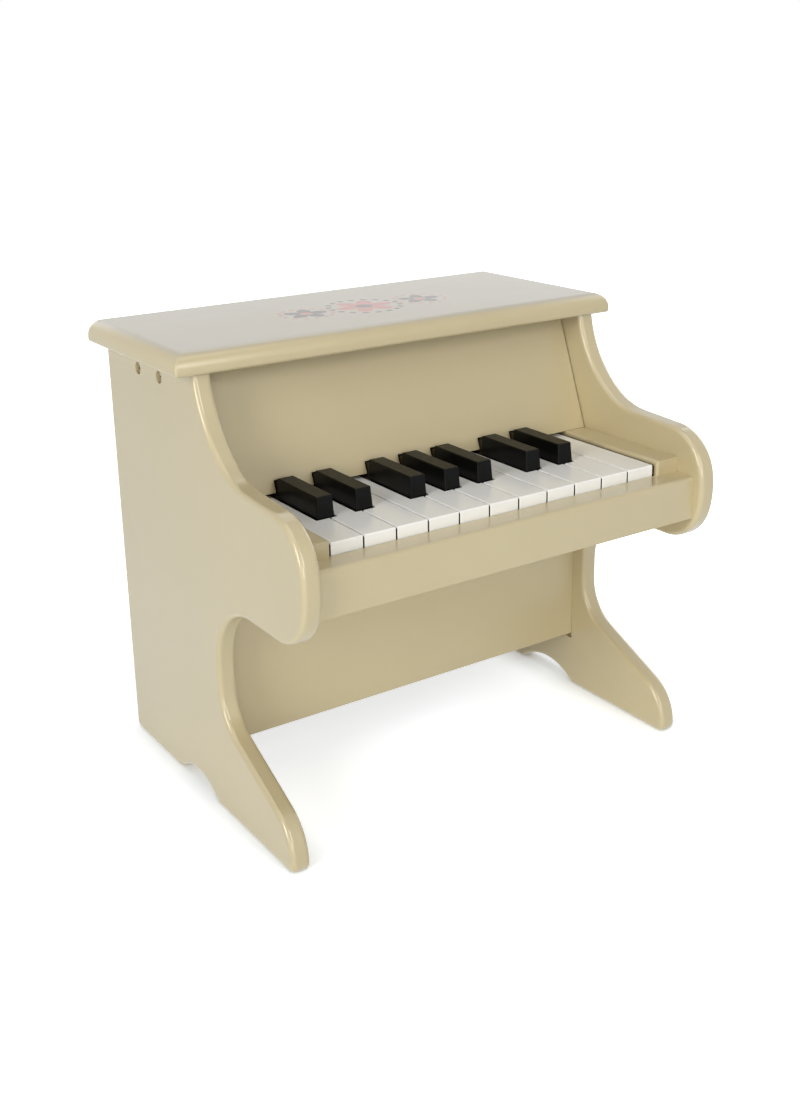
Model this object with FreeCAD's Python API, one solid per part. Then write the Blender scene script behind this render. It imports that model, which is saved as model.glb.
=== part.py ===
import FreeCAD
import Part
import math
import os

from FreeCAD import Vector

# An upright toy piano: a painted wooden cabinet, eighteen keys on one rod, and a hammer
# and a tone bar behind each key. Millimetres. X runs across from the player's left to the
# right, Y from the front to the back and Z up. The origin is on the floor, in the middle
# of the footprint.

# Cabinet
case_width = 300.0             # over the outer faces of the two sides
case_depth = 246.8             # from the front of the arms to the back
key_top_height = 195.4         # floor to the top of the white keys
lid_rise = 79.4                # white keys to the underside of the lid
lid_joint = 0.5                # open joint between the sides and the lid, which rests on its cleats
side_thickness = 12.0
edge_radius = 3.0              # rounding along both edges of a side

# Outline of a side, from the top down. Depths are measured forward from the back, and
# setbacks back from the front of the arms.
top_depth = 128.5              # depth under the lid
arm_crown = 62.9               # front of the arm to the end of the hollow sweep above it
arm_rise = 23.2                # end of the sweep above the white keys
arm_fall = 3.2                 # slope of the arm's top towards the front, degrees
sweep_foot_radius = 49.0       # lower part of the sweep
sweep_join = 35.0              # slope where the sweep's two parts meet, degrees
arm_drop = 52.7                # underside of the arm below the white keys
arm_bow_radius = 60.0          # gentle bow of the arm's front
arm_top_radius = 32.0
arm_bottom_radius = 30.0
leg_setback = 108.2            # front of the leg where it is narrowest
knee_share = 0.305             # radius of the hollow under the arm, as a share of its height
ankle_share = 0.224            # radius of the hollow above the foot, likewise
toe_share = 0.224              # radius of the toe's bulge, likewise
toe_setback = 25.1
foot_slope = 25.2              # fall of the instep, degrees
toe_tip_radius = 4.6
heel_radius = 4.5
arch_depth = 98.9              # back to the middle of the arch under the foot
arch_width = 56.0
arch_height = 10.0
arch_lip_radius = 4.0

# Lid
lid_thickness = 13.2
lid_side_overhang = 11.6
lid_front_overhang = 3.3
lid_top_radius = 9.4           # quarter-round on the front and the two ends
lid_bottom_radius = 1.8
lid_corner_radius = 1.6

# Side screws, sunk into the upper part of each side, and the cleats that take them
side_screw_drop = 9.4         # below the top of the side
side_screw_setbacks = (47.5, 78.3)   # behind the front of the side's top
sunk_hole_diameter = 7.8
sunk_hole_depth = 3.2
screw_head_diameter = 7.0
screw_head_height = 2.2
screw_socket_width = 3.0
screw_socket_depth = 1.4
screw_shank_diameter = 3.5
screw_clearance = 0.05         # radial, round every fixed screw and rod
side_screw_length = 22.0
cleat_width = 16.0
cleat_height = 22.0
cleat_gap = 4.8                # front board to the cleat

# Front board behind the keys, leaning back towards the lid
board_thickness = 6.0
board_depth = 136.7            # back to the foot of the board's front face
board_setback = 20.7           # board's face behind the front of the side's top
board_gap = 2.6                # white keys to the board's lower edge
board_side_gap = 0.5

# Keyboard
white_notes = (0, 2, 4, 5, 7, 9, 11)   # semitones of one octave
note_count = 18
key_thickness = 12.0
key_setback = 24.2             # front of the arms to the front of the keys
key_gap = 0.9
key_edge_radius = 0.6          # front and top edges of a white key
key_press = 3.0                # degrees
cheek_width = 17.65
cheek_gap = 1.4                # end key to the cheek block
cheek_lead = 2.5               # cheek block in front of the keys
cheek_edge_radius = 1.5
black_width = 11.5
black_top_width = 10.5
black_rise = 12.7              # above the white keys
black_front_slope = 1.2
black_setback = 36.6           # white key fronts to the foot of the black keys
black_clearance = 1.3          # between a black key and the white keys beside it
black_edge_radius = 0.7
black_body_inset = 1.0         # body between the white keys, in from the block above it
black_end_gap = 3.0            # back of the block to the foot of the board
neck_width = 6.5               # neck of a black key, through its slot in the board
neck_rise = 8.7                # above the white keys
slot_gap = 1.4                 # board slot beside a neck
slot_headroom = 1.0

# Key slip and key bed
slip_setback = 7.0             # front of the arms to the slip's face
slip_show = 7.2                # height of the key fronts that shows above the slip
slip_edge_radius = 2.4
slip_gap = 0.7                 # slip to the key fronts
bed_thickness = 12.0
bed_drop = 10.9                # underside of the keys to the top of the bed

# Lower case
knee_thickness = 6.0
knee_inset = 11.7              # front of the leg to the face of the knee panel
knee_bottom_height = 39.8
groove_depth = 3.0             # groove in each side that holds an end of the knee panel
groove_runout = 4.0            # groove below the panel
groove_fit = 0.1
back_thickness = 4.0
back_recess = 3.0              # back panel in from the backs of the sides
back_clearance = 0.3           # round the edge of the back panel
rail_height = 18.0             # bottom rail
rail_width = 18.0

# Key rod and key tails
rod_depth = 101.4              # back to the key rod
key_rod_diameter = 5.0
rod_fit = 0.05                 # radial running clearance on a rod
rod_seat = 12.0                # length of a rod's end in its block
shank_gap = 2.0                # between neighbouring key tails
shank_height = 9.0
shank_drop = 4.0               # top of a tail below the top of the white keys
head_end = 9.0                 # heads of the keys run this far behind the board's face
tail_length = 64.5             # behind the key rod
soft_gap = 0.3                 # pieces that only touch when a key moves
stop_felt_setback = 9.0        # key fronts to the stop felt
stop_felt_width = 14.0
rest_rail_reach = 44.0         # key rod to the rest rail
rest_rail_width = 14.0
rest_felt_thickness = 3.0

# Hammers
heel_reach = 62.0              # key rod to where a tail lifts its hammer
hammer_heel = 8.0              # heel to the hammer rod
heel_drop = 3.5                # centre of the heel below the hammer rod
hammer_heel_radius = 1.5
hammer_ratio = 7.5             # degrees of hammer for a degree of key
hammer_rod_diameter = 4.0
hammer_hub_height = 8.0
hammer_side_gap = 1.1
hammer_arm = 32.0              # hammer rod to the middle of the head
hammer_arm_height = 4.0
hammer_head_length = 9.0
hammer_head_rise = 13.3        # top of the head above the hammer rod
finger_thickness = 2.0
comb_thickness = 10.0
comb_height = 18.0

# Tone bars
bar_gap = 2.8
bar_thickness = 2.0
longest_bar = 96.0
bar_node = 0.224               # share of a bar's length from its end to its still point
strike_gap = 0.5               # hammer at the end of its swing to its bar
bar_rail_width = 7.0
bar_rail_height = 14.0
bar_felt_thickness = 2.0
bar_clamp_height = 8.0

# Places worked out from the sizes above
back_y = case_depth / 2
front_y = -case_depth / 2
inner_x = case_width / 2 - side_thickness
lid_bottom = key_top_height + lid_rise
side_height = lid_bottom - lid_joint
arm_top_height = key_top_height + arm_rise
arm_bottom_height = key_top_height - arm_drop
top_front_y = back_y - top_depth
leg_front_y = front_y + leg_setback
toe_y = front_y + toe_setback
lid_front_y = top_front_y - lid_front_overhang
screw_z = side_height - side_screw_drop
cheek_x = inner_x - cheek_width
key_span = 2 * (cheek_x - cheek_gap)
key_front_y = front_y + key_setback
key_bottom = key_top_height - key_thickness
board_bottom = key_top_height + board_gap
board_foot_y = back_y - board_depth
board_top_y = top_front_y + board_setback
board_lean = math.atan2(board_top_y - board_foot_y, side_height - board_bottom)
board_back_shift = board_thickness / math.cos(board_lean)
slip_front_y = front_y + slip_setback
slip_back_y = key_front_y - slip_gap
slip_top = key_top_height - slip_show
bed_top = key_bottom - bed_drop
bed_bottom = bed_top - bed_thickness
back_face_y = back_y - back_recess
back_panel_y = back_face_y - back_thickness
knee_front_y = leg_front_y + knee_inset
rod_y = back_y - rod_depth
shank_top = key_top_height - shank_drop
shank_bottom = shank_top - shank_height
rod_z = (shank_top + shank_bottom) / 2
head_end_y = board_foot_y + head_end
black_end_y = board_foot_y - black_end_gap
tail_end_y = rod_y + tail_length
hammer_y = rod_y + heel_reach + hammer_heel
hammer_z = shank_top + soft_gap + hammer_heel_radius + heel_drop
swing = math.radians(key_press * hammer_ratio)
comb_front_y = hammer_y + hammer_hub_height / math.sqrt(2) + soft_gap

# Notes of the keyboard. Within a group of white keys (three, then four) the tails of all
# the keys are equally wide, so the black keys stand a little off the gaps between the whites.
white_count = sum(1 for note in range(note_count) if note % 12 in white_notes)
white_pitch = key_span / white_count
group_whites = (3, 4)
group_notes = (5, 7)
tail_pitches = [white_pitch * whites / notes for whites, notes in zip(group_whites, group_notes)]
narrow_pitch = min(tail_pitches)
shank_width = narrow_pitch - shank_gap
hammer_width = narrow_pitch - finger_thickness - 2 * hammer_side_gap
bar_width = narrow_pitch - bar_gap


def is_white(note):
    return note % 12 in white_notes


def white_index(note):
    return sum(1 for lower in range(note) if is_white(lower))


def tail_x(note):
    """Middle of a note's tail, and of its hammer and tone bar."""
    octave, step = divmod(note, 12)
    group = 0 if step < group_notes[0] else 1
    first_step = 0 if group == 0 else group_notes[0]
    first_white = octave * len(white_notes) + (0 if group == 0 else group_whites[0])
    start = -key_span / 2 + first_white * white_pitch
    return start + (step - first_step + 0.5) * tail_pitches[group]


def bar_length(note):
    """A bar's pitch rises with the inverse square of its length."""
    return longest_bar * 2 ** (-note / 24)


# Helpers
def box(x0, x1, y0, y1, z0, z1):
    return Part.makeBox(x1 - x0, y1 - y0, z1 - z0, Vector(x0, y0, z0))


def rod_along_x(x0, x1, y, z, diameter):
    return Part.makeCylinder(diameter / 2, x1 - x0, Vector(x0, y, z), Vector(1, 0, 0))


def prism(points, direction):
    """Extrudes a flat polygon along a vector."""
    return Part.Face(Part.makePolygon(points + points[:1])).extrude(direction)


def edges_where(shape, test):
    """Edges whose end points all pass the test."""
    return [edge for edge in shape.Edges if all(test(vertex.Point) for vertex in edge.Vertexes)]


def near(a, b):
    return abs(a - b) < 1e-4


def solid_of(shape):
    """The one solid of a cut or a fusion, with its flush faces joined."""
    return shape.removeSplitter().Solids[0]


class Outline:
    """A closed outline in the YZ plane, drawn as lines and arcs."""

    def __init__(self, y, z):
        self.start = Vector(0, y, z)
        self.here = self.start
        self.edges = []

    def line(self, y, z):
        end = Vector(0, y, z)
        self.edges.append(Part.makeLine(self.here, end))
        self.here = end

    def arc(self, centre, end, turn):
        """Arc about a centre; turn is 1 for a bulge and -1 for a hollow."""
        (cy, cz), (y, z) = centre, end
        first = math.atan2(self.here.z - cz, self.here.y - cy)
        last = math.atan2(z - cz, y - cy)
        if (last - first) * turn < 0:
            last += turn * 2 * math.pi
        middle = (first + last) / 2
        radius = math.hypot(y - cy, z - cz)
        through = Vector(0, cy + radius * math.cos(middle), cz + radius * math.sin(middle))
        end_point = Vector(0, y, z)
        self.edges.append(Part.Arc(self.here, through, end_point).toShape())
        self.here = end_point

    def solid(self, x0, x1):
        self.line(self.start.y, self.start.z)
        face = Part.Face(Part.Wire(self.edges))
        face.translate(Vector(x0, 0, 0))
        return face.extrude(Vector(x1 - x0, 0, 0))


# Sides
def side_outline():
    outline = Outline(back_y, side_height)
    outline.line(top_front_y, side_height)

    # The sweep runs in two tangent arcs from the lid's corner into the sloping top of the arm.
    fall = math.radians(arm_fall)
    join = math.radians(sweep_join)
    end_y = front_y + arm_crown
    foot_y = end_y - sweep_foot_radius * math.sin(fall)
    foot_z = arm_top_height + sweep_foot_radius * math.cos(fall)
    join_y = foot_y + sweep_foot_radius * math.sin(join)
    join_z = foot_z - sweep_foot_radius * math.cos(join)
    back_reach = top_front_y - join_y
    up_reach = side_height - join_z
    square_reach = up_reach * math.cos(join) - back_reach * math.sin(join)
    sweep_radius = (back_reach ** 2 + up_reach ** 2) / (2 * square_reach)
    sweep_y = join_y - sweep_radius * math.sin(join)
    sweep_z = join_z + sweep_radius * math.cos(join)
    outline.arc((sweep_y, sweep_z), (join_y, join_z), -1)
    outline.arc((foot_y, foot_z), (end_y, arm_top_height), -1)

    # The arm's front is a gentle bow with a tighter round above and below it.
    bow_y = front_y + arm_bow_radius
    bow_z = (arm_top_height + arm_bottom_height) / 2
    upper_reach = arm_bow_radius - arm_top_radius
    start_y = end_y + arm_top_radius * math.sin(fall) - bow_y
    start_z = arm_top_height - arm_top_radius * math.cos(fall) - bow_z
    along = -start_y * math.cos(fall) - start_z * math.sin(fall)
    run = math.sqrt(along ** 2 - start_y ** 2 - start_z ** 2 + upper_reach ** 2) - along
    upper_y = start_y - run * math.cos(fall)
    upper_z = start_z - run * math.sin(fall)
    share = arm_bow_radius / upper_reach
    outline.line(end_y - run * math.cos(fall), arm_top_height - run * math.sin(fall))
    outline.arc((bow_y + upper_y, bow_z + upper_z), (bow_y + share * upper_y, bow_z + share * upper_z), 1)
    lower_reach = arm_bow_radius - arm_bottom_radius
    lower_z = arm_bottom_height + arm_bottom_radius - bow_z
    lower_y = -math.sqrt(lower_reach ** 2 - lower_z ** 2)
    share = arm_bow_radius / lower_reach
    outline.arc((bow_y, bow_z), (bow_y + share * lower_y, bow_z + share * lower_z), 1)
    outline.arc((bow_y + lower_y, bow_z + lower_z), (bow_y + lower_y, arm_bottom_height), 1)

    knee_radius = knee_share * arm_bottom_height
    knee_y = leg_front_y - knee_radius
    knee_z = arm_bottom_height - knee_radius
    outline.line(knee_y, arm_bottom_height)
    outline.arc((knee_y, knee_z), (leg_front_y, knee_z), -1)

    # The instep is a straight slope between the hollow ankle and the round toe.
    slope = math.radians(foot_slope)
    ankle_radius = ankle_share * arm_bottom_height
    toe_radius = toe_share * arm_bottom_height
    toe_centre = (toe_y + toe_radius, toe_tip_radius)
    instep_y = toe_centre[0] - toe_radius * math.sin(slope)
    instep_z = toe_centre[1] + toe_radius * math.cos(slope)
    ankle_y = leg_front_y - ankle_radius
    ankle_end_y = ankle_y + ankle_radius * math.sin(slope)
    ankle_end_z = instep_z + (ankle_end_y - instep_y) * math.tan(slope)
    ankle_z = ankle_end_z + ankle_radius * math.cos(slope)
    outline.line(leg_front_y, ankle_z)
    outline.arc((ankle_y, ankle_z), (ankle_end_y, ankle_end_z), -1)
    outline.line(instep_y, instep_z)
    outline.arc(toe_centre, (toe_y, toe_tip_radius), 1)
    outline.arc((toe_y + toe_tip_radius, toe_tip_radius), (toe_y + toe_tip_radius, 0), 1)

    # The arch under the foot, with a rounded lip at each end.
    arch_y = back_y - arch_depth
    arch_radius = ((arch_width / 2) ** 2 + arch_height ** 2) / (2 * arch_height)
    arch_z = arch_height - arch_radius
    lip_reach = math.sqrt((arch_radius + arch_lip_radius) ** 2 - (arch_lip_radius - arch_z) ** 2)
    share = arch_radius / (arch_radius + arch_lip_radius)
    touch_reach = lip_reach * share
    touch_z = arch_z + (arch_lip_radius - arch_z) * share
    outline.line(arch_y - lip_reach, 0)
    outline.arc((arch_y - lip_reach, arch_lip_radius), (arch_y - touch_reach, touch_z), 1)
    outline.arc((arch_y, arch_z), (arch_y + touch_reach, touch_z), -1)
    outline.arc((arch_y + lip_reach, arch_lip_radius), (arch_y + lip_reach, 0), 1)

    outline.line(back_y - heel_radius, 0)
    outline.arc((back_y - heel_radius, heel_radius), (back_y, heel_radius), 1)
    return outline


def side_screw_places():
    return [(top_front_y + setback, screw_z) for setback in side_screw_setbacks]


def side(hand):
    """A side board; hand is -1 for the left and 1 for the right."""
    outer_x = hand * case_width / 2
    low_x, high_x = sorted((outer_x, hand * inner_x))
    board = side_outline().solid(low_x, high_x)
    rims = edges_where(board, lambda p: near(p.x, low_x)) + edges_where(board, lambda p: near(p.x, high_x))
    top_rims = edges_where(board, lambda p: near(p.z, side_height))
    rims = [edge for edge in rims if not any(edge.isSame(other) for other in top_rims)]
    board = board.makeFillet(edge_radius, rims)
    inward = Vector(-hand, 0, 0)
    for y, z in side_screw_places():
        mouth = Vector(outer_x, y, z)
        sunk = Part.makeCylinder(sunk_hole_diameter / 2, sunk_hole_depth, mouth, inward)
        hole = Part.makeCylinder(screw_shank_diameter / 2 + screw_clearance, side_thickness, mouth, inward)
        board = board.cut(sunk.fuse(hole))
    low_x, high_x = sorted((hand * inner_x, hand * (inner_x + groove_depth)))
    groove = box(low_x, high_x, knee_front_y - groove_fit, knee_front_y + knee_thickness + groove_fit,
                 knee_bottom_height - groove_runout, bed_bottom)
    return board.cut(groove).Solids[0]


def side_screws():
    screws = []
    for hand in (-1, 1):
        inward = Vector(-hand, 0, 0)
        for y, z in side_screw_places():
            top = Vector(hand * (case_width / 2 - sunk_hole_depth + screw_head_height), y, z)
            head = Part.makeCylinder(screw_head_diameter / 2, screw_head_height, top, inward)
            shank = Part.makeCylinder(screw_shank_diameter / 2, side_screw_length, top, inward)
            half = screw_socket_width / 2
            socket = Part.makeBox(2 * half, 2 * half, screw_socket_depth, Vector(-half, -half, 0))
            socket.Placement = FreeCAD.Placement(top, FreeCAD.Rotation(Vector(0, 0, 1), inward))
            screws.append(solid_of(head.fuse(shank).cut(socket)))
    return Part.makeCompound(screws)


def cleat(hand):
    """Block under the lid that takes the side screws."""
    low_x, high_x = sorted((hand * inner_x, hand * (inner_x - cleat_width)))
    cleat_front_y = board_top_y + board_back_shift + cleat_gap
    block = box(low_x, high_x, cleat_front_y, back_panel_y, lid_bottom - cleat_height, lid_bottom)
    reach = sunk_hole_depth - screw_head_height + side_screw_length
    for y, z in side_screw_places():
        start = Vector(hand * case_width / 2, y, z)
        radius = screw_shank_diameter / 2 + screw_clearance
        block = block.cut(Part.makeCylinder(radius, reach, start, Vector(-hand, 0, 0)))
    return solid_of(block)


# Lid
def top_lid():
    half = case_width / 2 + lid_side_overhang
    top = lid_bottom + lid_thickness
    slab = box(-half, half, lid_front_y, back_y, lid_bottom, top)

    def on_rim(z):
        def test(p):
            return near(p.z, z) and (near(abs(p.x), half) or near(p.y, lid_front_y))
        return [edge for edge in edges_where(slab, test) if not all(near(v.Y, back_y) for v in edge.Vertexes)]

    slab = slab.makeFillet(lid_top_radius, on_rim(top))
    corners = [edge for edge in slab.Edges if edge.BoundBox.ZLength > lid_thickness / 10
               and edge.BoundBox.YMax < lid_front_y + lid_top_radius + 1e-3]
    slab = slab.makeFillet(lid_corner_radius, corners)
    underside = [edge for edge in slab.Edges if near(edge.BoundBox.ZMax, lid_bottom)
                 and not near(edge.BoundBox.YMin, back_y)]
    slab = slab.makeFillet(lid_bottom_radius, underside)
    return slab.Solids[0]


# Front board
def front_board():
    half = inner_x - board_side_gap
    section = [Vector(-half, board_foot_y, board_bottom),
               Vector(-half, board_foot_y + board_back_shift, board_bottom),
               Vector(-half, board_top_y + board_back_shift, side_height),
               Vector(-half, board_top_y, side_height)]
    board = prism(section, Vector(2 * half, 0, 0))
    slot_top = key_top_height + neck_rise + slot_headroom
    for note in range(note_count):
        if not is_white(note):
            half_slot = neck_width / 2 + slot_gap
            x = tail_x(note)
            board = board.cut(box(x - half_slot, x + half_slot, board_foot_y - board_thickness,
                                  board_foot_y + 3 * board_thickness, board_bottom - board_gap, slot_top))
    return board.Solids[0]


# Keys
def shank(note):
    """The narrow rear of a key, from its head to its tail, bored for the key rod."""
    x = tail_x(note)
    bar = box(x - shank_width / 2, x + shank_width / 2, head_end_y, tail_end_y, shank_bottom, shank_top)
    hole = rod_along_x(x - shank_width, x + shank_width, rod_y, rod_z, key_rod_diameter + 2 * rod_fit)
    return bar.cut(hole)


def white_key(note):
    left = -key_span / 2 + white_index(note) * white_pitch + key_gap / 2
    right = left + white_pitch - key_gap
    notch_y = key_front_y + black_setback - black_clearance
    half_notch = black_width / 2 + black_clearance
    outline = [(left, key_front_y), (right, key_front_y)]
    if note + 1 < note_count and not is_white(note + 1):
        edge = tail_x(note + 1) - half_notch
        outline += [(right, notch_y), (edge, notch_y), (edge, head_end_y)]
    else:
        outline += [(right, head_end_y)]
    if note > 0 and not is_white(note - 1):
        edge = tail_x(note - 1) + half_notch
        outline += [(edge, head_end_y), (edge, notch_y), (left, notch_y)]
    else:
        outline += [(left, head_end_y)]
    head = prism([Vector(x, y, key_bottom) for x, y in outline], Vector(0, 0, key_thickness))
    upright = edges_where(head, lambda p: near(p.y, key_front_y))
    upright = [edge for edge in upright if near(edge.BoundBox.ZLength, key_thickness)]
    rim = edges_where(head, lambda p: near(p.z, key_top_height))
    rim = [edge for edge in rim if edge.BoundBox.YMin < notch_y - key_edge_radius]
    head = head.makeFillet(key_edge_radius, upright + rim)
    return solid_of(head.fuse(shank(note)))


def black_key(note):
    """Tapered block above the white keys, a straight body between them, a neck and a tail."""
    x = tail_x(note)
    foot_y = key_front_y + black_setback
    half = black_width / 2
    top = key_top_height + black_rise

    def ring(low_y, top_y):
        """Corners of an end of the block."""
        lows = [Vector(x + hand * half, low_y, key_top_height) for hand in (-1, 1)]
        return lows + [Vector(x + hand * black_top_width / 2, top_y, top) for hand in (1, -1)]

    front = ring(foot_y, foot_y + black_front_slope)
    back = ring(black_end_y, black_end_y)
    sides = [[front[i], front[i - 1], back[i - 1], back[i]] for i in range(4)]
    faces = [Part.Face(Part.makePolygon(corners + corners[:1])) for corners in [front, back] + sides]
    block = Part.Solid(Part.Shell(faces))
    rim = edges_where(block, lambda p: near(p.z, top))
    upright = [edge for edge in edges_where(block, lambda p: p.y < foot_y + black_front_slope + 1e-3)
               if edge.BoundBox.ZLength > black_rise / 2]
    block = block.makeFillet(black_edge_radius, rim + upright)
    inset = half - black_body_inset
    body = box(x - inset, x + inset, foot_y + black_body_inset, head_end_y, key_bottom, key_top_height)
    neck = box(x - neck_width / 2, x + neck_width / 2, black_end_y - black_body_inset, head_end_y,
               key_bottom, key_top_height + neck_rise)
    return solid_of(block.fuse([body, neck, shank(note)]))


def cheek(hand):
    """Block beside the end key. It laps over the slip and carries an end of the key rod."""
    low_x, high_x = sorted((hand * inner_x, hand * cheek_x))
    front = key_front_y - cheek_lead
    back = rod_y + key_rod_diameter + rod_seat / 2
    block = box(low_x, high_x, front, back, bed_top, board_bottom)
    edges = [edge for edge in block.Edges
             if near(edge.BoundBox.XMin, hand * cheek_x) and near(edge.BoundBox.XMax, hand * cheek_x)
             and (near(edge.BoundBox.ZMin, board_bottom) or near(edge.BoundBox.YMax, front))]
    block = block.makeFillet(cheek_edge_radius, edges)
    block = block.cut(box(low_x, high_x, front, slip_back_y, bed_top, slip_top))
    behind_board = box(low_x, high_x, board_foot_y, back, board_bottom - cheek_edge_radius, board_bottom)
    block = block.fuse(behind_board)
    seat = rod_along_x(-cheek_x - rod_seat, cheek_x + rod_seat, rod_y, rod_z,
                       key_rod_diameter + 2 * screw_clearance)
    return solid_of(block.cut(seat))


def key_rod():
    return rod_along_x(-cheek_x - rod_seat, cheek_x + rod_seat, rod_y, rod_z, key_rod_diameter)


def key_slip():
    rail = box(-inner_x, inner_x, slip_front_y, slip_back_y, bed_bottom, slip_top)
    rim = edges_where(rail, lambda p: near(p.y, slip_front_y) and near(p.z, slip_top))
    return rail.makeFillet(slip_edge_radius, rim).Solids[0]


def key_bed():
    return box(-inner_x, inner_x, slip_back_y, back_panel_y, bed_bottom, bed_top)


def stop_felt():
    """Strip under the key fronts, as high as the keys come down."""
    start = key_front_y + stop_felt_setback
    drop = (rod_y - start) * math.sin(math.radians(key_press))
    tilt = (rod_z - key_bottom) * (1 - math.cos(math.radians(key_press)))
    return box(-cheek_x, cheek_x, start, start + stop_felt_width, bed_top, key_bottom - drop + tilt - soft_gap)


def rest_rail():
    start = rod_y + rest_rail_reach
    return box(-inner_x, inner_x, start, start + rest_rail_width, bed_top,
               shank_bottom - soft_gap - rest_felt_thickness)


def rest_felt():
    start = rod_y + rest_rail_reach
    top = shank_bottom - soft_gap
    return box(-inner_x, inner_x, start, start + rest_rail_width, top - rest_felt_thickness, top)


# Lower case and back
def knee_panel():
    half = inner_x + groove_depth - groove_fit
    return box(-half, half, knee_front_y, knee_front_y + knee_thickness, knee_bottom_height, bed_bottom)


def back_panel():
    half = inner_x - back_clearance
    return box(-half, half, back_panel_y, back_face_y, knee_bottom_height, side_height - back_clearance)


def bottom_rail():
    return box(-inner_x, inner_x, back_panel_y - rail_width, back_panel_y,
               knee_bottom_height, knee_bottom_height + rail_height)


# Hammers
def hammer(note):
    """Hub on the hammer rod, a round heel that rests over the key's tail, an arm and a head."""
    x = tail_x(note) - hammer_width / 2
    far_x = x + hammer_width
    heel_z = hammer_z - heel_drop
    heel = rod_along_x(x, far_x, hammer_y - hammer_heel, heel_z, 2 * hammer_heel_radius)
    heel_block = box(x, far_x, hammer_y - hammer_heel - hammer_heel_radius, hammer_y, heel_z, hammer_z)
    head_y = hammer_y - hammer_arm
    arm = box(x, far_x, head_y, hammer_y, hammer_z - hammer_arm_height / 2, hammer_z + hammer_arm_height / 2)
    half = hammer_head_length / 2
    nose_z = hammer_z + hammer_head_rise - half
    head = box(x, far_x, head_y - half, head_y + half, hammer_z - hammer_arm_height / 2, nose_z)
    nose = rod_along_x(x, far_x, head_y, nose_z, hammer_head_length)
    hub = box(x, far_x, hammer_y - hammer_hub_height / 2, hammer_y + hammer_hub_height / 2,
              hammer_z - hammer_hub_height / 2, hammer_z + hammer_hub_height / 2)
    hole = rod_along_x(x, far_x, hammer_y, hammer_z, hammer_rod_diameter + 2 * rod_fit)
    return solid_of(hub.fuse([heel, heel_block, arm, head, nose]).cut(hole))


def finger_places():
    """Middles of the comb's fingers: one between neighbouring hammers and one at each end."""
    tails = [tail_x(note) for note in range(note_count)]
    between = [(a + b) / 2 for a, b in zip(tails, tails[1:])]
    end = hammer_width / 2 + hammer_side_gap + finger_thickness / 2
    return [tails[0] - end] + between + [tails[-1] + end]


def hammer_comb():
    """Rail between the sides. The hammer rod lies in notches in its fingers."""
    low = hammer_z - comb_height / 2
    rail = box(-inner_x, inner_x, comb_front_y, comb_front_y + comb_thickness, low, low + comb_height)
    half_hub = hammer_hub_height / 2
    half_notch = hammer_rod_diameter / 2 + screw_clearance
    fingers = []
    for x in finger_places():
        plate = box(x - finger_thickness / 2, x + finger_thickness / 2, hammer_y - half_hub, comb_front_y,
                    hammer_z - half_hub, hammer_z + half_hub)
        notch = box(x - finger_thickness, x + finger_thickness, hammer_y - half_notch, hammer_y + half_notch,
                    hammer_z - half_notch, hammer_z + half_hub)
        fingers.append(plate.cut(notch))
    return solid_of(rail.fuse(fingers))


def hammer_rod():
    places = finger_places()
    half = finger_thickness / 2
    return rod_along_x(places[0] - half, places[-1] + half, hammer_y, hammer_z, hammer_rod_diameter)


# Tone bars
nose_radius = hammer_head_length / 2
nose_rise = hammer_head_rise - nose_radius
strike_y = hammer_y - hammer_arm * math.cos(swing) + nose_rise * math.sin(swing)
strike_z = hammer_z + hammer_arm * math.sin(swing) + nose_rise * math.cos(swing) + nose_radius
bar_bottom = strike_z + strike_gap


def node_reach(note):
    """Middle of a bar to its still points, where it is held."""
    return bar_length(note) * (0.5 - bar_node)


def bar_rail_y(end, x):
    """Middle line of a bar rail; end is -1 for the front rail and 1 for the back rail."""
    first_x, last_x = tail_x(0), tail_x(note_count - 1)
    share = (x - first_x) / (last_x - first_x)
    reach = node_reach(0) + (node_reach(note_count - 1) - node_reach(0)) * share
    return strike_y + end * reach


def bar_strip(end, low, high):
    """A strip along a bar rail, from side to side."""
    half = bar_rail_width / 2
    corners = [Vector(-inner_x, bar_rail_y(end, -inner_x) - half, low),
               Vector(inner_x, bar_rail_y(end, inner_x) - half, low),
               Vector(inner_x, bar_rail_y(end, inner_x) + half, low),
               Vector(-inner_x, bar_rail_y(end, -inner_x) + half, low)]
    return prism(corners, Vector(0, 0, high - low))


def tone_bars():
    bars = []
    for note in range(note_count):
        x = tail_x(note)
        half = bar_length(note) / 2
        bars.append(box(x - bar_width / 2, x + bar_width / 2, strike_y - half, strike_y + half,
                        bar_bottom, bar_bottom + bar_thickness))
    return Part.makeCompound(bars)


def bar_rails():
    top = bar_bottom - bar_felt_thickness
    return Part.makeCompound([bar_strip(end, top - bar_rail_height, top) for end in (-1, 1)])


def bar_felts():
    """Strips under the bars on both rails, and one over them on the front rail's line."""
    low = bar_bottom - bar_felt_thickness
    top = bar_bottom + bar_thickness
    under = [bar_strip(end, low, bar_bottom) for end in (-1, 1)]
    return Part.makeCompound(under + [bar_strip(-1, top, top + bar_felt_thickness)])


def bar_clamp():
    """Strip that holds the bars down along the front rail, fixed to both sides."""
    low = bar_bottom + bar_thickness + bar_felt_thickness
    return bar_strip(-1, low, low + bar_clamp_height)


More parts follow.
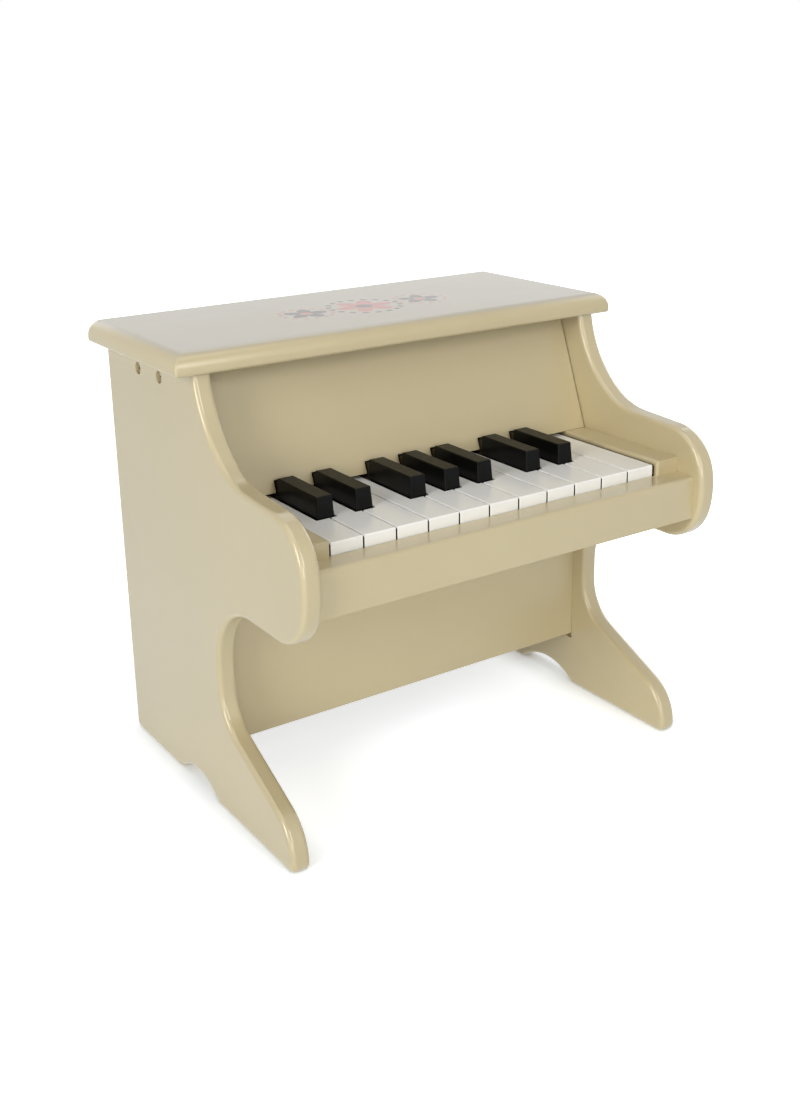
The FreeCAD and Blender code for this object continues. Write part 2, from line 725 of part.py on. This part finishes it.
# Pieces, one file each
pieces = {
    "left_side": side(-1),
    "right_side": side(1),
    "top_lid": top_lid(),
    "lid_cleats": Part.makeCompound([cleat(-1), cleat(1)]),
    "side_screws": side_screws(),
    "front_board": front_board(),
    "key_slip": key_slip(),
    "left_cheek": cheek(-1),
    "right_cheek": cheek(1),
    "key_bed": key_bed(),
    "knee_panel": knee_panel(),
    "back_panel": back_panel(),
    "bottom_rail": bottom_rail(),
    "key_rod": key_rod(),
    "rest_rail": rest_rail(),
    "key_felts": Part.makeCompound([stop_felt(), rest_felt()]),
    "hammer_comb": hammer_comb(),
    "hammer_rod": hammer_rod(),
    "bar_rails": bar_rails(),
    "bar_felts": bar_felts(),
    "tone_bars": tone_bars(),
    "bar_clamp": bar_clamp(),
}
white_number = 0
black_number = 0
for note in range(note_count):
    if is_white(note):
        white_number += 1
        pieces[f"white_key_{white_number:02d}"] = white_key(note)
    else:
        black_number += 1
        pieces[f"black_key_{black_number:02d}"] = black_key(note)
    pieces[f"hammer_{note + 1:02d}"] = hammer(note)

os.makedirs("parts", exist_ok=True)
for name, shape in pieces.items():
    shape.exportStep(f"parts/{name}.step")
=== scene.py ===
import bpy
import math
from mathutils import Matrix, Vector


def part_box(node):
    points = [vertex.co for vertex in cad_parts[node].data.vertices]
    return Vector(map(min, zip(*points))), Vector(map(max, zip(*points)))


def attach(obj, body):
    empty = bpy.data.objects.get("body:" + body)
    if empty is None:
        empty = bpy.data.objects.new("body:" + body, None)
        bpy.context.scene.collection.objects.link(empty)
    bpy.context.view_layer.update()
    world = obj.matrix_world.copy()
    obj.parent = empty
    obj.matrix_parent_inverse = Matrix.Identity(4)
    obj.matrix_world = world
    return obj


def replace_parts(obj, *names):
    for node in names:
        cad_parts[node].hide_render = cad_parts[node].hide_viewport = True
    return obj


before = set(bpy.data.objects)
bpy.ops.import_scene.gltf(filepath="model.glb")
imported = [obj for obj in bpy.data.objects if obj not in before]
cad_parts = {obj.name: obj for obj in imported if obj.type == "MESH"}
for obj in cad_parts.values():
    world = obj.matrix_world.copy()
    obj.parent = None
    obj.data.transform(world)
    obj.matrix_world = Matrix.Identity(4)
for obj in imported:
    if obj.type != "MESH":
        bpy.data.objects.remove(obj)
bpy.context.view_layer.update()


# Sides of the cabinet
# One board each of pressed wood, cut to its outline, sanded round along the edges and sprayed
# all over with two coats of sand-coloured lacquer that dry to a soft gloss.
def screen_colour(red, green, blue):
    """A colour as a screen shows it, 0 to 255, as the shader's own linear values."""
    shares = [c / 255 for c in (red, green, blue)]
    return tuple(s / 12.92 if s <= 0.04045 else ((s + 0.055) / 1.055) ** 2.4 for s in shares) + (1,)


class Socket:
    """A value in a shader that takes part in sums: each sum adds its Math node."""

    def __init__(self, finish, output):
        self.finish = finish
        self.output = output

    def __add__(self, other):
        return self.finish.maths("ADD", self, other)

    __radd__ = __add__

    def __sub__(self, other):
        return self.finish.maths("SUBTRACT", self, other)

    def __rsub__(self, other):
        return self.finish.maths("SUBTRACT", other, self)

    def __mul__(self, other):
        return self.finish.maths("MULTIPLY", self, other)

    __rmul__ = __mul__

    def __truediv__(self, other):
        return self.finish.maths("DIVIDE", self, other)

    def __abs__(self):
        return self.finish.maths("ABSOLUTE", self)


class Finish:
    """A material: one shader, and the nodes that change it over the surface."""

    def __init__(self, name, constants):
        self.material = bpy.data.materials.new(name)
        self.material.use_nodes = True
        self.tree = self.material.node_tree
        self.shader = self.tree.nodes["Principled BSDF"]
        for socket, value in constants.items():
            self.shader.inputs[socket].default_value = value
        self.place = self.node("ShaderNodeTexCoord", {}, {}, "Object")

    def node(self, kind, settings, sockets, output=0):
        """Adds a node, sets it up, and fills its sockets with values or links."""
        node = self.tree.nodes.new(kind)
        for setting, value in settings.items():
            setattr(node, setting, value)
        for socket, value in sockets.items():
            if isinstance(value, Socket):
                self.tree.links.new(value.output, node.inputs[socket])
            else:
                node.inputs[socket].default_value = value
        return Socket(self, node.outputs[output])

    def maths(self, operation, *terms):
        """One sum on one or two values."""
        return self.node("ShaderNodeMath", {"operation": operation}, dict(enumerate(terms)))

    def along(self, axis, vector=None):
        """One number of a place or a direction: X, Y or Z."""
        return self.node("ShaderNodeSeparateXYZ", {}, {0: vector or self.place}, axis)

    def facing(self, axis):
        """How far the surface looks along X, Y or Z, from -1 to 1."""
        return self.along(axis, self.node("ShaderNodeTexCoord", {}, {}, "Normal"))

    def stretched(self, x, y, z):
        """Places drawn out, so that clouds on them turn into streaks."""
        return self.node("ShaderNodeMapping", {}, {"Vector": self.place, "Scale": (x, y, z)})

    def noise(self, scale, detail, place=None):
        """Clouds from 0 to 1, with features about a metre over scale across."""
        return self.node("ShaderNodeTexNoise", {},
                         {"Vector": place or self.place, "Scale": scale, "Detail": detail})

    def step(self, value, low, high):
        """Rises smoothly from 0 to 1 as the value goes from low to high."""
        return self.node("ShaderNodeMapRange", {"interpolation_type": "SMOOTHSTEP"},
                         {"Value": value, "From Min": low, "From Max": high})

    def mix(self, share, first, second):
        """First colour where the share is 0, second where it is 1."""
        return self.node("ShaderNodeMix", {"data_type": "RGBA"}, {0: share, 6: first, 7: second}, 2)

    def bump(self, height, distance, strength):
        """Lets the surface look raised: by the distance, in metres, where the height is 1."""
        normal = self.node("ShaderNodeBump", {},
                           {"Height": height, "Distance": distance, "Strength": strength})
        self.feed("Normal", normal)

    def feed(self, socket, value):
        """Links a value to one of the shader's own sockets."""
        self.tree.links.new(value.output, self.shader.inputs[socket])


def lacquer(name, haze=0.1):
    """Sprayed lacquer, and its tone: faint clouds in the colour and a fine orange-peel.

    The more haze its clear top coat has, the softer the bright lines on it are.
    """
    paint = Finish(name, {"Coat Roughness": haze, "Specular IOR Level": 0.25})
    clouds = paint.noise(scale=11, detail=3)
    tone = paint.mix(clouds, screen_colour(190, 175, 136), screen_colour(196, 182, 144))
    paint.feed("Roughness", 0.29 + 0.08 * paint.noise(scale=40, detail=2))
    paint.feed("Coat Weight", 0.85 + 0.15 * paint.noise(scale=25, detail=2))
    paint.bump(paint.noise(scale=620, detail=1), distance=0.00003, strength=0.4)
    return paint, tone


def dress(finish, *names):
    """Gives CAD pieces a finish."""
    for name in names:
        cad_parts[name].material_slots[0].material = finish.material


cabinet_lacquer, sand = lacquer("cabinet_lacquer")
cabinet_lacquer.feed("Base Color", sand)
dress(cabinet_lacquer, "left_side", "right_side")


# Bottom rail and key bed
# Softwood boards fixed between the sides. The rail and the strips inside the cabinet stay bare,
# and the bed is sprayed only where it shows, which is underneath and in front.
def bare_wood(name):
    """Planed softwood, and its tone: grain along the cabinet's width, with darker streaks."""
    wood = Finish(name, {"Specular IOR Level": 0.25})
    grain = wood.noise(scale=60, detail=5, place=wood.stretched(0.12, 1, 1))
    fibres = wood.noise(scale=900, detail=2, place=wood.stretched(0.03, 1, 1))
    rings = wood.step(grain, 0.35, 0.7)
    tone = wood.mix(rings, screen_colour(214, 188, 146), screen_colour(182, 148, 102))
    tone = wood.mix(0.25 * fibres, tone, screen_colour(140, 108, 70))
    wood.feed("Roughness", 0.62 + 0.2 * fibres)
    wood.bump(fibres, distance=0.0001, strength=0.5)
    return wood, tone


rail_wood, plain_tone = bare_wood("bare_wood")
rail_wood.feed("Base Color", plain_tone)
dress(rail_wood, "bottom_rail", "rest_rail", "lid_cleats", "bar_rails", "bar_clamp")

bed_paint, bed_sand = lacquer("key_bed_lacquer")
bed_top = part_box("key_bed")[1].z
spray_reach = 0.0012
bare_above = bed_paint.step(bed_paint.along("Z"), bed_top - spray_reach, bed_top - spray_reach / 2)
bed_brown = screen_colour(150, 118, 78)
bed_paint.feed("Base Color", bed_paint.mix(bare_above, bed_sand, bed_brown))
dress(bed_paint, "key_bed")


# Knee panel
# A painted board whose ends are let into a groove in each side. Its edges are sanded so that
# they keep their paint, and its broad face dries duller than the rounded edges do.
panel_haze = 0.35
panel_lacquer, panel_sand = lacquer("panel_lacquer", panel_haze)
panel_lacquer.feed("Base Color", panel_sand)


def sanded_board(name, ease):
    """A board made again from its CAD piece, with its sharp edges taken off."""
    same_point = 0.000002
    same_plane = math.radians(0.5)
    sharp, smooth = math.radians(40), math.radians(35)
    bpy.ops.object.select_all(action="DESELECT")
    board = bpy.data.objects.new(name + "_sanded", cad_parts[name].data.copy())
    bpy.context.scene.collection.objects.link(board)
    bpy.context.view_layer.objects.active = board
    board.select_set(True)
    bpy.ops.mesh.customdata_custom_splitnormals_clear()
    bpy.ops.object.mode_set(mode="EDIT")
    bpy.ops.mesh.select_all(action="SELECT")
    bpy.ops.mesh.remove_doubles(threshold=same_point)
    bpy.ops.mesh.dissolve_limited(angle_limit=same_plane)
    bpy.ops.object.mode_set(mode="OBJECT")
    bpy.ops.object.shade_smooth_by_angle(angle=smooth)
    rounding = board.modifiers.new("rounding", "BEVEL")
    rounding.width = ease
    rounding.segments = 3
    rounding.angle_limit = sharp
    rounding.harden_normals = True
    bpy.ops.object.modifier_apply(modifier="rounding")
    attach(board, "case")
    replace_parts(board, name)
    board.data.materials.clear()
    board.data.materials.append(panel_lacquer.material)
    return board


board_ease = 0.0008
sanded_board("knee_panel", board_ease)


# Key rod, hammer rod and felts
# Drawn steel rods that the keys and hammers turn on, and red felt strips that stop the keys
# and carry the tone bars without a knock.
rod_steel = Finish("drawn_steel", {"Metallic": 1.0})
drawn = rod_steel.noise(scale=1500, detail=3, place=rod_steel.stretched(0.02, 1, 1))
rod_grey, rod_shine = screen_colour(190, 190, 188), screen_colour(212, 212, 210)
rod_steel.feed("Base Color", rod_steel.mix(drawn, rod_grey, rod_shine))
rod_steel.feed("Roughness", 0.3 + 0.2 * drawn)
dress(rod_steel, "key_rod", "hammer_rod")

felt = Finish("red_felt", {"Specular IOR Level": 0.1, "Sheen Weight": 0.4, "Roughness": 0.95})
fluff = felt.noise(scale=1600, detail=4)
deep_red, worn_red = screen_colour(118, 32, 34), screen_colour(160, 58, 56)
felt.feed("Base Color", felt.mix(felt.step(fluff, 0.3, 0.7), deep_red, worn_red))
felt.bump(fluff, distance=0.0004, strength=0.8)
dress(felt, "key_felts", "bar_felts")


# White keys
# A lever each with a glossy white cap that laps the front. The cap is a little uneven in tone
# and gloss, as mouldings are. Below the cap the sides of the lever are dull and dark brown:
# partly the bare lever, partly painted shade for the deep gaps between the keys.
white_gloss = Finish("white_key_gloss",
                     {"Specular IOR Level": 0.45, "Coat Roughness": 0.06, "Coat Weight": 0.3})
mottle = white_gloss.noise(scale=30, detail=2)
ivory = white_gloss.mix(mottle, screen_colour(248, 247, 241), screen_colour(251, 250, 246))
# The dark flank colour is painted shade for the gaps between keys, over the bare lever's tone.
flank_brown_and_gap_shade = screen_colour(84, 76, 64)
cap_thickness, cap_fade = 0.0012, 0.0004
cap_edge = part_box("white_key_01")[1].z - cap_thickness
flank_and_gap_shade = white_gloss.step(abs(white_gloss.facing("X")), 0.8, 0.95)
flank_and_gap_shade = flank_and_gap_shade * (1 - white_gloss.step(white_gloss.along("Z"), cap_edge - cap_fade, cap_edge + cap_fade))
white_gloss.feed("Base Color", white_gloss.mix(flank_and_gap_shade, ivory, flank_brown_and_gap_shade))
white_gloss.feed("Roughness", 0.19 + 0.08 * white_gloss.noise(scale=90, detail=2) + 0.3 * flank_and_gap_shade)
white_gloss.bump(white_gloss.noise(scale=160, detail=1), distance=0.00004, strength=0.3)
dress(white_gloss, *[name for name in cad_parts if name.startswith("white_key")])


# Black keys
# A block each, moulded in satin black plastic, on a lever whose neck passes through a slot in
# the board. The lever behind the block is dull and dark brown: partly its own colour, partly
# painted shade for the recess of the slot.
black_satin = Finish("black_key_satin",
                     {"Specular IOR Level": 0.06, "Coat Weight": 0.14, "Coat Roughness": 0.1})
smudges = black_satin.noise(scale=60, detail=2)
soot = black_satin.mix(smudges, screen_colour(5, 5, 4), screen_colour(9, 9, 8))
# The dark lever colour is partly painted shade, so that the slot beside each block reads as a recess.
lever_brown_and_slot_shade = screen_colour(64, 55, 41)
block_end, end_fade = -0.016, 0.0002
lever_and_slot_shade = black_satin.step(black_satin.along("Y"), block_end - end_fade, block_end + end_fade)
black_satin.feed("Base Color", black_satin.mix(lever_and_slot_shade, soot, lever_brown_and_slot_shade))
black_satin.feed("Roughness", 0.29 + 0.1 * black_satin.noise(scale=300, detail=2) + 0.3 * lever_and_slot_shade)
black_satin.bump(black_satin.noise(scale=800, detail=2), distance=0.00003, strength=0.3)
dress(black_satin, *[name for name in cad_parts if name.startswith("black_key")])


# Key slip and cheeks
# A rail glued on in front of the keys and a block beside each end key, painted where they show.
# The cheeks' faces that look at the keys are dark brown below the key tops, behind the key
# fronts: bare board, and painted shade for the narrow gap beside each end key.
dress(cabinet_lacquer, "key_slip")
cheek_paint, cheek_sand = lacquer("cheek_lacquer")
# The dark brown is bare board and painted shade for the gap between an end key and its cheek.
bare_board_and_gap_shade = screen_colour(66, 51, 34)
key_low, key_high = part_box("white_key_01")
key_front, key_top = key_low.y, key_high.z
middle = cheek_paint.along("X")
hand = middle / cheek_paint.maths("MAXIMUM", abs(middle), 0.001)
turned_in = -1 * cheek_paint.facing("X") * hand
inside = cheek_paint.step(turned_in, 0.7, 0.9)
below = 1 - cheek_paint.step(cheek_paint.along("Z"), key_top - 0.002, key_top + 0.001)
beside = cheek_paint.step(cheek_paint.along("Y"), key_front - 0.0005, key_front + 0.0015)
cheek_paint.feed("Base Color", cheek_paint.mix(inside * below * beside, cheek_sand, bare_board_and_gap_shade))
for name in ("left_cheek", "right_cheek"):
    sanded_board(name, board_ease).data.materials[0] = cheek_paint.material


# Hammers and their comb
# Moulded in a pale plastic with a fine matt grain. The comb is fixed across the cabinet, and
# the hammers turn on a rod between its fingers.
pale_plastic = Finish("pale_plastic", {"Specular IOR Level": 0.4})
cream, pale_cream = screen_colour(218, 212, 200), screen_colour(227, 222, 211)
swirls = pale_plastic.noise(scale=70, detail=2)
pale_plastic.feed("Base Color", pale_plastic.mix(swirls, cream, pale_cream))
pale_plastic.feed("Roughness", 0.42 + 0.12 * pale_plastic.noise(scale=500, detail=2))
pale_plastic.bump(pale_plastic.noise(scale=2200, detail=2), distance=0.00004, strength=0.4)
hammers = [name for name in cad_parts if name.startswith("hammer_") and name[-1].isdigit()]
dress(pale_plastic, "hammer_comb", *hammers)


# Tone bars
# Flat bars of light metal, sawn to graded lengths and brushed along them before they are laid on
# their felts and clamped.
bar_metal = Finish("brushed_bar_metal", {"Metallic": 1.0})
brushed = bar_metal.noise(scale=2600, detail=3, place=bar_metal.stretched(1, 0.015, 1))
bar_grey, bar_shine = screen_colour(205, 206, 208), screen_colour(228, 229, 231)
bar_metal.feed("Base Color", bar_metal.mix(brushed, bar_grey, bar_shine))
bar_metal.feed("Roughness", 0.3 + 0.2 * brushed)
bar_metal.bump(brushed, distance=0.00002, strength=0.5)
dress(bar_metal, "tone_bars")


# Front board
# The leaning board behind the keys, fixed between the sides. It is sawn from below with a slot
# for the neck of each black key, and then painted.
panel_ease = 0.0006
sanded_board("front_board", panel_ease)


# Lid
# A thick slab, rounded along the front and both ends and left bare underneath, in a dark brown
# that is partly painted shade, to deepen the shadow on the board under its front edge. A clear
# printed film covers its flat top and shows plain rosettes in dusty pink and grey; the grey it
# gives the paint is painted shade on the lid's top.
lid_ease, lid_haze = 0.0003, 0.25
# The film grey is painted shade on the lid's top; the dark brown under the lid is painted shade too.
top_shade_grey, dark_underside_shade = screen_colour(180, 171, 150), screen_colour(96, 74, 48)
lid = sanded_board("top_lid", lid_ease)
lid_paint, lid_sand = lacquer("lid_lacquer", lid_haze)
lid_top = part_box("top_lid")[1].z
film_start, film_full = lid_top - 0.0025, lid_top - 0.0001
across, deep, up = (lid_paint.along(axis) for axis in "XYZ")
film_and_top_shade = lid_paint.step(up, film_start, film_full)
tone = lid_paint.mix(film_and_top_shade, lid_sand, top_shade_grey)
bare_underside_shade = lid_paint.step(-1 * lid_paint.facing("Z"), 0.93, 0.98)
tone = lid_paint.mix(bare_underside_shade, tone, dark_underside_shade)


def rosette(x, y, radius, petals):
    """Where a rosette's petals are, and where its heart and its dotted ring are.

    Sizes in it are shares of its radius.
    """
    petal_root, petal_length, ring_reach = 0.38, 0.44, 0.96
    u = (across - x) / radius
    v = (deep - y) / radius
    reach = lid_paint.maths("SQRT", u * u + v * v)
    turn = lid_paint.maths("ARCTAN2", v, u)
    wave = abs(lid_paint.maths("COSINE", turn * (petals / 2)))
    petal = 1 - lid_paint.step(reach - petal_root - petal_length * wave, -0.03, 0.03)
    heart = 1 - lid_paint.step(reach, 0.2, 0.26)
    beads = lid_paint.step(lid_paint.maths("COSINE", turn * (3 * petals)), -0.2, 0.2)
    ring = (1 - lid_paint.step(abs(reach - ring_reach), 0.05, 0.09)) * beads
    return petal * (1 - heart), lid_paint.maths("MAXIMUM", heart, ring)


pink, grey = screen_colour(188, 106, 90), screen_colour(62, 58, 50)
row_y = 0.056
for x, radius, petals, first, second in ((0.004, 0.025, 6, pink, grey),
                                         (-0.04, 0.018, 5, grey, pink),
                                         (0.048, 0.018, 5, grey, pink)):
    petal, heart = rosette(x, row_y, radius, petals)
    tone = lid_paint.mix(petal * film_and_top_shade, tone, first)
    tone = lid_paint.mix(heart * film_and_top_shade, tone, second)
lid_paint.feed("Base Color", tone)
lid.data.materials[0] = lid_paint.material


# Side screws
# Two pan-head screws through each side into a cleat under the lid, with a cross recess and a
# bronzed surface, sunk below the paint.
def pick_faces(piece, wanted):
    """In edit mode, the faces that pass a test are selected and no others."""
    bpy.ops.object.mode_set(mode="EDIT")
    bpy.ops.mesh.select_mode(type="FACE")
    bpy.ops.mesh.select_all(action="DESELECT")
    bpy.ops.object.mode_set(mode="OBJECT")
    for face in piece.data.polygons:
        face.select = wanted(face)
    bpy.ops.object.mode_set(mode="EDIT")


head_radius, head_thickness = 0.0037, 0.0013
dome_widths, dome_heights = (0.0005, 0.0007), (0.0006, 0.0003)
shank_radius, tip_length, tip_share = 0.00175, 0.003, 0.15
recess_width, recess_length, recess_depth, recess_share = 0.0009, 0.0042, 0.0014, 0.6


def recess_bar(width, height):
    """One bar of the cross that is cut into a screw head."""
    bpy.ops.mesh.primitive_cube_add(size=1, location=(0, 0, 0))
    bar = bpy.context.object
    bar.scale = (2 * recess_depth, width, height)
    bpy.ops.object.transform_apply(scale=True)
    pick_faces(bar, lambda face: face.normal.x < -0.9)
    bpy.ops.transform.resize(value=(1, recess_share, recess_share))
    bpy.ops.object.mode_set(mode="OBJECT")
    return bar


def pan_head_screw(name, length):
    """A screw along X with its head's top at the origin, pointing inwards."""
    bpy.ops.object.select_all(action="DESELECT")
    head_middle = -sum(dome_heights) - head_thickness / 2
    bpy.ops.mesh.primitive_cylinder_add(vertices=48, radius=head_radius, depth=head_thickness,
                                        location=(head_middle, 0, 0), rotation=(0, math.pi / 2, 0))
    screw = bpy.context.object
    screw.name = name
    bpy.ops.object.transform_apply(location=True, rotation=True)
    pick_faces(screw, lambda face: face.normal.x > 0.9)
    for width, height in zip(dome_widths, dome_heights):
        bpy.ops.mesh.inset(thickness=width, depth=height)
    pick_faces(screw, lambda face: face.normal.x < -0.9)
    bpy.ops.mesh.inset(thickness=head_radius - shank_radius, depth=0)
    bpy.ops.mesh.extrude_region_move(TRANSFORM_OT_translate={"value": (tip_length - length, 0, 0)})
    bpy.ops.mesh.extrude_region_move(TRANSFORM_OT_translate={"value": (-tip_length, 0, 0)})
    bpy.ops.transform.resize(value=(1, tip_share, tip_share))
    bpy.ops.object.mode_set(mode="OBJECT")
    for width, height in ((recess_width, recess_length), (recess_length, recess_width)):
        bar = recess_bar(width, height)
        bpy.ops.object.select_all(action="DESELECT")
        bpy.context.view_layer.objects.active = screw
        screw.select_set(True)
        cut = screw.modifiers.new("cut", "BOOLEAN")
        cut.operation = "DIFFERENCE"
        cut.object = bar
        bpy.ops.object.modifier_apply(modifier="cut")
        bpy.data.objects.remove(bar)
    bpy.ops.object.shade_smooth_by_angle(angle=math.radians(40))
    return screw


def set_screws(name, pattern, places):
    """Copies of one screw, each turned and moved to its place, joined into one piece."""
    bpy.ops.object.select_all(action="DESELECT")
    for place in places:
        screw = bpy.data.objects.new(name, pattern.data.copy())
        screw.data.transform(place)
        bpy.context.scene.collection.objects.link(screw)
        screw.select_set(True)
        bpy.context.view_layer.objects.active = screw
    bpy.ops.object.join()
    joined = bpy.context.object
    joined.name = name
    joined.data.materials.append(bronzed.material)
    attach(joined, "case")
    return joined


bronzed = Finish("bronzed_steel", {"Metallic": 0.45})
patches = bronzed.noise(scale=700, detail=3)
dark_bronze, pale_bronze = screen_colour(150, 138, 106), screen_colour(176, 164, 130)
bronzed.feed("Base Color", bronzed.mix(patches, dark_bronze, pale_bronze))
bronzed.feed("Roughness", 0.3 + 0.2 * patches)
side_low, side_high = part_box("side_screws")
side_screw_length = 0.0198
side_screw = pan_head_screw("side_screw", side_screw_length)
from_edge = 0.0035
screw_ys = (side_low.y + from_edge, side_high.y - from_edge)
screw_z = (side_low.z + side_high.z) / 2
driven_turns = (0.5, 1.1)
turned_left = Matrix.Rotation(math.pi, 4, "Z")
places = []
for y, turn in zip(screw_ys, driven_turns):
    spin = Matrix.Rotation(turn, 4, "X")
    places.append(Matrix.Translation((side_high.x, y, screw_z)) @ spin)
    places.append(Matrix.Translation((side_low.x, y, screw_z)) @ turned_left @ spin)
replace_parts(set_screws("side_screw_set", side_screw, places), "side_screws")
bpy.data.objects.remove(side_screw)


# Back panel
# A painted panel that sits between the sides and is held by screws along its edges, into the
# rail, the key bed and the cleats.
sanded_board("back_panel", panel_ease)
back_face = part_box("back_panel")[1].y
back_screw_length, head_proud = 0.012, 0.0021
back_screw = pan_head_screw("back_screw", back_screw_length)
edge_x = 0.13
rail_z, bed_z, cleat_z = 0.0488, 0.1665, 0.265
spots = ((-edge_x, rail_z), (0, rail_z), (edge_x, rail_z),
         (-edge_x, bed_z), (0, bed_z), (edge_x, bed_z),
         (-edge_x, cleat_z), (edge_x, cleat_z))
turned_back = Matrix.Rotation(math.pi / 2, 4, "Z")
turn_step = 0.7
places = []
for number, (x, z) in enumerate(spots):
    spin = Matrix.Rotation(turn_step * number, 4, "X")
    places.append(Matrix.Translation((x, back_face + head_proud, z)) @ turned_back @ spin)
set_screws("back_screw_set", back_screw, places)
bpy.data.objects.remove(back_screw)


# Camera
# Stands to the player's left of the keyboard, a little above the lid, and looks down on it
# through a lens of middling length.
lens = bpy.data.cameras.new("camera")
lens.lens = 42.67
lens.sensor_width = 36
lens.shift_y = -0.0849
camera = bpy.data.objects.new("camera", lens)
bpy.context.scene.collection.objects.link(camera)
stand = Vector((-0.4564, -0.67849, 0.44427))
right = Vector((0.83072925, -0.55640688, -0.01732879))
above = Vector((0.17719993, 0.2347977, 0.95575636))
turned = Matrix((right, above, right.cross(above))).transposed().to_4x4()
camera.matrix_world = Matrix.Translation(stand) @ turned
bpy.context.scene.camera = camera


# Floor and background
# A seamless white paper sweep, lit from all round, that also glows white for the camera. That
# glow is painted darker where the object shuts the floor in, as a painted soft shadow and a
# painted dark line where a foot stands on it; for other rays it glows faintly, as bounced light.
# Its paper and glow are tinted a little blue, so that its shade stays cool beside the cabinet.
bpy.ops.object.select_all(action="DESELECT")
bpy.ops.mesh.primitive_plane_add(size=40)
floor = bpy.context.object
floor.name = "floor"
sweep = Finish("white_sweep", {"Roughness": 0.9, "Specular IOR Level": 0.0, "Emission Strength": 1.05})
paper = sweep.noise(scale=3, detail=2)
sweep.feed("Base Color", sweep.mix(paper, (0.85, 0.89, 0.94, 1), (0.87, 0.91, 0.96, 1)))
seen, mirrored, through = (sweep.node("ShaderNodeLightPath", {}, {}, ray)
                           for ray in ("Is Camera Ray", "Is Glossy Ray", "Is Transmission Ray"))
distance = sweep.node("ShaderNodeVectorMath", {"operation": "LENGTH"}, {0: sweep.place}, "Value")
contact_reach, bounce_glow = 0.025, 0.2
# The glow seen by the camera is painted darker where the object shuts the floor in: painted shadow.
ao_painted_shadow = sweep.node("ShaderNodeAmbientOcclusion", {}, {"Distance": contact_reach}, "AO")
far_glow = 0.08 + 0.6 * sweep.step(distance, 1.2, 3.5)
seen_glow = 0.6 * ao_painted_shadow + 0.48 * sweep.step(distance, 0.2, 0.45)
glow = (1 - seen) * (bounce_glow + (mirrored + through) * far_glow) + seen * seen_glow
sweep.feed("Emission Color", sweep.mix(glow, (0, 0, 0, 1), (0.97, 0.985, 1, 1)))
floor.data.materials.append(sweep.material)

world = bpy.context.scene.world or bpy.data.worlds.new("studio")
bpy.context.scene.world = world
world.use_nodes = True
nodes = world.node_tree.nodes
links = world.node_tree.links
sky = nodes["Background"]
sky.inputs["Color"].default_value = (1, 1, 1, 1)
rays = nodes.new("ShaderNodeLightPath")
strength = nodes.new("ShaderNodeMapRange")
strength.inputs["To Min"].default_value = 0.01
strength.inputs["To Max"].default_value = 1.0
level = rays.outputs["Is Camera Ray"]
for ray in ("Is Glossy Ray", "Is Transmission Ray"):
    either = nodes.new("ShaderNodeMath")
    either.operation = "MAXIMUM"
    links.new(level, either.inputs[0])
    links.new(rays.outputs[ray], either.inputs[1])
    level = either.outputs[0]
links.new(level, strength.inputs["Value"])
links.new(strength.outputs[0], sky.inputs["Strength"])


# Studio lights
# Two tall soft boxes, one on the left and one in front, which draw the two bright lines along the
# rounded edges, and others that fill the shadows and light the lid and the back.
def soft_box(name, place, aim, width, height, power):
    """A lamp with a flat bright face turned to its aim, unseen by the camera. Power in watts."""
    lamp = bpy.data.lights.new(name, "AREA")
    lamp.shape = "RECTANGLE"
    lamp.size = width
    lamp.size_y = height
    lamp.energy = power
    box = bpy.data.objects.new(name, lamp)
    bpy.context.scene.collection.objects.link(box)
    box.location = place
    box.rotation_euler = (Vector(aim) - Vector(place)).to_track_quat("-Z", "Y").to_euler()
    box.visible_camera = False


soft_box("left_light", (-2.25, -0.82, 1.0), (0, 0, 0.15), width=0.7, height=1.3, power=33)
soft_box("front_light", (0.18, -1.8, 1.1), (0, 0, 0.15), width=0.4, height=1.0, power=10)
soft_box("fill_light", (-1.1, -2.2, 0.4), (0, 0, 0.12), width=1.6, height=0.6, power=13)
soft_box("right_light", (2.3, 0.2, 1.1), (0, 0, 0.12), width=1.6, height=1.6, power=17)
soft_box("top_light", (-0.3, -0.3, 2.4), (0, 0, 0.12), width=1.8, height=1.8, power=15)
soft_box("lid_light", (0.9, 1.7, 2.2), (0, 0, 0.25), width=1.4, height=1.4, power=4)
soft_box("back_light", (0.12, 2.4, 0.4), (0, 0, 0.15), width=0.55, height=0.8, power=18)

bpy.context.scene.view_settings.view_transform = "Standard"
